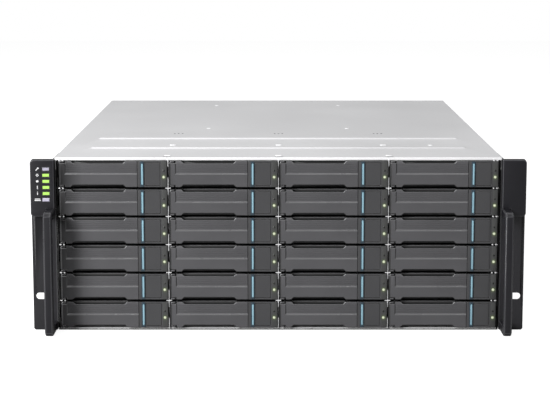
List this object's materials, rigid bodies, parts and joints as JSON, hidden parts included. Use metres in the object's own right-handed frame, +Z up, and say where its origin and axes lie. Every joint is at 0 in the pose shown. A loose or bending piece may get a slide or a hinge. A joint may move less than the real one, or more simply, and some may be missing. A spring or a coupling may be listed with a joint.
{
  "type": "storage array",
  "caption": "Rack-mounted storage array: rows of hot-swap drive trays with cam levers in a sheet-metal body with black ears, handles and a lamp panel.",
  "frame": {"origin": "under the middle of the body, on the plane it stands on, midway between the front handles and the rear handles", "axes": "+X to the right seen from the front, +Y to the rear, +Z up"},
  "size_m": [0.4826, 0.572, 0.1733],
  "materials": {
    "body_sheet": "light grey galvanised sheet, satin",
    "cage_steel": "plain bright sheet",
    "module_steel": "plain sheet",
    "steel": "zinc-plated screws",
    "black_metal": "black powder coat",
    "black_plastic": "fine-grained black moulding",
    "bezel": "satin dark grey moulding",
    "board": "green solder mask",
    "connector": "black nylon",
    "green_lens": "lit lamp lens",
    "pale_button": "pale grey key",
    "latch_green": "coloured touch point"
  },
  "bodies": {
    "chassis": {"chassis_pan": "body_sheet", "top_cover": "body_sheet", "cover_screws": "steel", "drive_cage": "cage_steel", "tray_guides": "cage_steel", "backplane_board": "board", "drive_connectors": "connector", "module_bay": "cage_steel", "left_ear_bracket": "black_metal", "right_ear_bracket": "black_metal", "left_ear_cover": "black_plastic", "right_ear_cover": "black_plastic", "status_board": "board", "indicator_lenses": "green_lens", "left_handle": "black_plastic", "right_handle": "black_plastic", "handle_screws": "steel"},
    "service_button": {"service_button": "pale_button"},
    "tray_r1_c1": {"tray_r1_c1": "bezel"},
    "tray_r1_c2": {"tray_r1_c2": "bezel"},
    "tray_r1_c3": {"tray_r1_c3": "bezel"},
    "tray_r1_c4": {"tray_r1_c4": "bezel"},
    "tray_r2_c1": {"tray_r2_c1": "bezel"},
    "tray_r2_c2": {"tray_r2_c2": "bezel"},
    "tray_r2_c3": {"tray_r2_c3": "bezel"},
    "tray_r2_c4": {"tray_r2_c4": "bezel"},
    "tray_r3_c1": {"tray_r3_c1": "bezel"},
    "tray_r3_c2": {"tray_r3_c2": "bezel"},
    "tray_r3_c3": {"tray_r3_c3": "bezel"},
    "tray_r3_c4": {"tray_r3_c4": "bezel"},
    "tray_r4_c1": {"tray_r4_c1": "bezel"},
    "tray_r4_c2": {"tray_r4_c2": "bezel"},
    "tray_r4_c3": {"tray_r4_c3": "bezel"},
    "tray_r4_c4": {"tray_r4_c4": "bezel"},
    "tray_r5_c1": {"tray_r5_c1": "bezel"},
    "tray_r5_c2": {"tray_r5_c2": "bezel"},
    "tray_r5_c3": {"tray_r5_c3": "bezel"},
    "tray_r5_c4": {"tray_r5_c4": "bezel"},
    "tray_r6_c1": {"tray_r6_c1": "bezel"},
    "tray_r6_c2": {"tray_r6_c2": "bezel"},
    "tray_r6_c3": {"tray_r6_c3": "bezel"},
    "tray_r6_c4": {"tray_r6_c4": "bezel"},
    "tray_lever_c1": {"tray_lever_c1": "bezel"},
    "release_button_c1": {"release_button_c1": "bezel"},
    "tray_lever_c2": {"tray_lever_c2": "bezel"},
    "release_button_c2": {"release_button_c2": "bezel"},
    "tray_lever_c3": {"tray_lever_c3": "bezel"},
    "release_button_c3": {"release_button_c3": "bezel"},
    "tray_lever_c4": {"tray_lever_c4": "bezel"},
    "release_button_c4": {"release_button_c4": "bezel"},
    "left_controller": {"left_controller": "module_steel"},
    "left_controller_lever": {"left_controller_lever": "black_plastic"},
    "left_power_module": {"left_power_module": "module_steel"},
    "left_power_latch": {"left_power_latch": "latch_green"},
    "left_fan_rotor": {"left_fan_rotor": "black_plastic"},
    "right_controller": {"right_controller": "module_steel"},
    "right_controller_lever": {"right_controller_lever": "black_plastic"},
    "right_power_module": {"right_power_module": "module_steel"},
    "right_power_latch": {"right_power_latch": "latch_green"},
    "right_fan_rotor": {"right_fan_rotor": "black_plastic"}
  },
  "joints": [
    {"name": "service_button_press", "type": "slide", "parent": "chassis", "child": "service_button", "axis": [0, 1, 0], "range_m": [0, 0.0008], "stiffness_N_per_m": 600, "springref_m": -0.0005},
    {"name": "tray_r1_c1_slide", "type": "slide", "parent": "chassis", "child": "tray_r1_c1", "axis": [0, -1, 0], "range_m": [0, 0.2]},
    {"name": "tray_r1_c2_slide", "type": "slide", "parent": "chassis", "child": "tray_r1_c2", "axis": [0, -1, 0], "range_m": [0, 0.2]},
    {"name": "tray_r1_c3_slide", "type": "slide", "parent": "chassis", "child": "tray_r1_c3", "axis": [0, -1, 0], "range_m": [0, 0.2]},
    {"name": "tray_r1_c4_slide", "type": "slide", "parent": "chassis", "child": "tray_r1_c4", "axis": [0, -1, 0], "range_m": [0, 0.2]},
    {"name": "tray_r2_c1_slide", "type": "slide", "parent": "chassis", "child": "tray_r2_c1", "axis": [0, -1, 0], "range_m": [0, 0.2]},
    {"name": "tray_r2_c2_slide", "type": "slide", "parent": "chassis", "child": "tray_r2_c2", "axis": [0, -1, 0], "range_m": [0, 0.2]},
    {"name": "tray_r2_c3_slide", "type": "slide", "parent": "chassis", "child": "tray_r2_c3", "axis": [0, -1, 0], "range_m": [0, 0.2]},
    {"name": "tray_r2_c4_slide", "type": "slide", "parent": "chassis", "child": "tray_r2_c4", "axis": [0, -1, 0], "range_m": [0, 0.2]},
    {"name": "tray_r3_c1_slide", "type": "slide", "parent": "chassis", "child": "tray_r3_c1", "axis": [0, -1, 0], "range_m": [0, 0.2]},
    {"name": "tray_r3_c2_slide", "type": "slide", "parent": "chassis", "child": "tray_r3_c2", "axis": [0, -1, 0], "range_m": [0, 0.2]},
    {"name": "tray_r3_c3_slide", "type": "slide", "parent": "chassis", "child": "tray_r3_c3", "axis": [0, -1, 0], "range_m": [0, 0.2]},
    {"name": "tray_r3_c4_slide", "type": "slide", "parent": "chassis", "child": "tray_r3_c4", "axis": [0, -1, 0], "range_m": [0, 0.2]},
    {"name": "tray_r4_c1_slide", "type": "slide", "parent": "chassis", "child": "tray_r4_c1", "axis": [0, -1, 0], "range_m": [0, 0.2]},
    {"name": "tray_r4_c2_slide", "type": "slide", "parent": "chassis", "child": "tray_r4_c2", "axis": [0, -1, 0], "range_m": [0, 0.2]},
    {"name": "tray_r4_c3_slide", "type": "slide", "parent": "chassis", "child": "tray_r4_c3", "axis": [0, -1, 0], "range_m": [0, 0.2]},
    {"name": "tray_r4_c4_slide", "type": "slide", "parent": "chassis", "child": "tray_r4_c4", "axis": [0, -1, 0], "range_m": [0, 0.2]},
    {"name": "tray_r5_c1_slide", "type": "slide", "parent": "chassis", "child": "tray_r5_c1", "axis": [0, -1, 0], "range_m": [0, 0.2]},
    {"name": "tray_r5_c2_slide", "type": "slide", "parent": "chassis", "child": "tray_r5_c2", "axis": [0, -1, 0], "range_m": [0, 0.2]},
    {"name": "tray_r5_c3_slide", "type": "slide", "parent": "chassis", "child": "tray_r5_c3", "axis": [0, -1, 0], "range_m": [0, 0.2]},
    {"name": "tray_r5_c4_slide", "type": "slide", "parent": "chassis", "child": "tray_r5_c4", "axis": [0, -1, 0], "range_m": [0, 0.2]},
    {"name": "tray_r6_c1_slide", "type": "slide", "parent": "chassis", "child": "tray_r6_c1", "axis": [0, -1, 0], "range_m": [0, 0.2]},
    {"name": "tray_r6_c2_slide", "type": "slide", "parent": "chassis", "child": "tray_r6_c2", "axis": [0, -1, 0], "range_m": [0, 0.2]},
    {"name": "tray_r6_c3_slide", "type": "slide", "parent": "chassis", "child": "tray_r6_c3", "axis": [0, -1, 0], "range_m": [0, 0.2]},
    {"name": "tray_r6_c4_slide", "type": "slide", "parent": "chassis", "child": "tray_r6_c4", "axis": [0, -1, 0], "range_m": [0, 0.2]},
    {"name": "tray_lever_c1_swing", "type": "hinge", "parent": "tray_r1_c1", "child": "tray_lever_c1", "pos_m": [-0.2116, -0.2567, 0.156], "axis": [0, 0, -1], "range_deg": [0, 60]},
    {"name": "release_button_c1_press", "type": "slide", "parent": "tray_r1_c1", "child": "release_button_c1", "axis": [0, 1, 0], "range_m": [0, 0.0015], "stiffness_N_per_m": 800, "springref_m": -0.0005},
    {"name": "tray_lever_c2_swing", "type": "hinge", "parent": "tray_r1_c2", "child": "tray_lever_c2", "pos_m": [-0.1041, -0.2567, 0.156], "axis": [0, 0, -1], "range_deg": [0, 60]},
    {"name": "release_button_c2_press", "type": "slide", "parent": "tray_r1_c2", "child": "release_button_c2", "axis": [0, 1, 0], "range_m": [0, 0.0015], "stiffness_N_per_m": 800, "springref_m": -0.0005},
    {"name": "tray_lever_c3_swing", "type": "hinge", "parent": "tray_r1_c3", "child": "tray_lever_c3", "pos_m": [0.0034, -0.2567, 0.156], "axis": [0, 0, -1], "range_deg": [0, 60]},
    {"name": "release_button_c3_press", "type": "slide", "parent": "tray_r1_c3", "child": "release_button_c3", "axis": [0, 1, 0], "range_m": [0, 0.0015], "stiffness_N_per_m": 800, "springref_m": -0.0005},
    {"name": "tray_lever_c4_swing", "type": "hinge", "parent": "tray_r1_c4", "child": "tray_lever_c4", "pos_m": [0.1109, -0.2567, 0.156], "axis": [0, 0, -1], "range_deg": [0, 60]},
    {"name": "release_button_c4_press", "type": "slide", "parent": "tray_r1_c4", "child": "release_button_c4", "axis": [0, 1, 0], "range_m": [0, 0.0015], "stiffness_N_per_m": 800, "springref_m": -0.0005},
    {"name": "left_controller_slide", "type": "slide", "parent": "chassis", "child": "left_controller", "axis": [0, 1, 0], "range_m": [0, 0.23]},
    {"name": "left_controller_lever_swing", "type": "hinge", "parent": "left_controller", "child": "left_controller_lever", "pos_m": [-0.203, 0.2673, 0.1183], "axis": [0, 0, 1], "range_deg": [0, 70]},
    {"name": "left_power_module_slide", "type": "slide", "parent": "chassis", "child": "left_power_module", "axis": [0, 1, 0], "range_m": [0, 0.23]},
    {"name": "left_power_latch_press", "type": "slide", "parent": "left_power_module", "child": "left_power_latch", "axis": [1, 0, 0], "range_m": [0, 0.003], "stiffness_N_per_m": 500, "springref_m": -0.001},
    {"name": "left_fan_rotor_spin", "type": "hinge", "parent": "left_power_module", "child": "left_fan_rotor", "pos_m": [-0.06005, 0.2406, 0.0539], "axis": [0, 1, 0], "continuous": true},
    {"name": "right_controller_slide", "type": "slide", "parent": "chassis", "child": "right_controller", "axis": [0, 1, 0], "range_m": [0, 0.23]},
    {"name": "right_controller_lever_swing", "type": "hinge", "parent": "right_controller", "child": "right_controller_lever", "pos_m": [0.203, 0.2673, 0.1183], "axis": [0, 0, -1], "range_deg": [0, 70]},
    {"name": "right_power_module_slide", "type": "slide", "parent": "chassis", "child": "right_power_module", "axis": [0, 1, 0], "range_m": [0, 0.23]},
    {"name": "right_power_latch_press", "type": "slide", "parent": "right_power_module", "child": "right_power_latch", "axis": [-1, 0, 0], "range_m": [0, 0.003], "stiffness_N_per_m": 500, "springref_m": -0.001},
    {"name": "right_fan_rotor_spin", "type": "hinge", "parent": "right_power_module", "child": "right_fan_rotor", "pos_m": [0.06005, 0.2406, 0.0539], "axis": [0, 1, 0], "continuous": true}
  ]
}
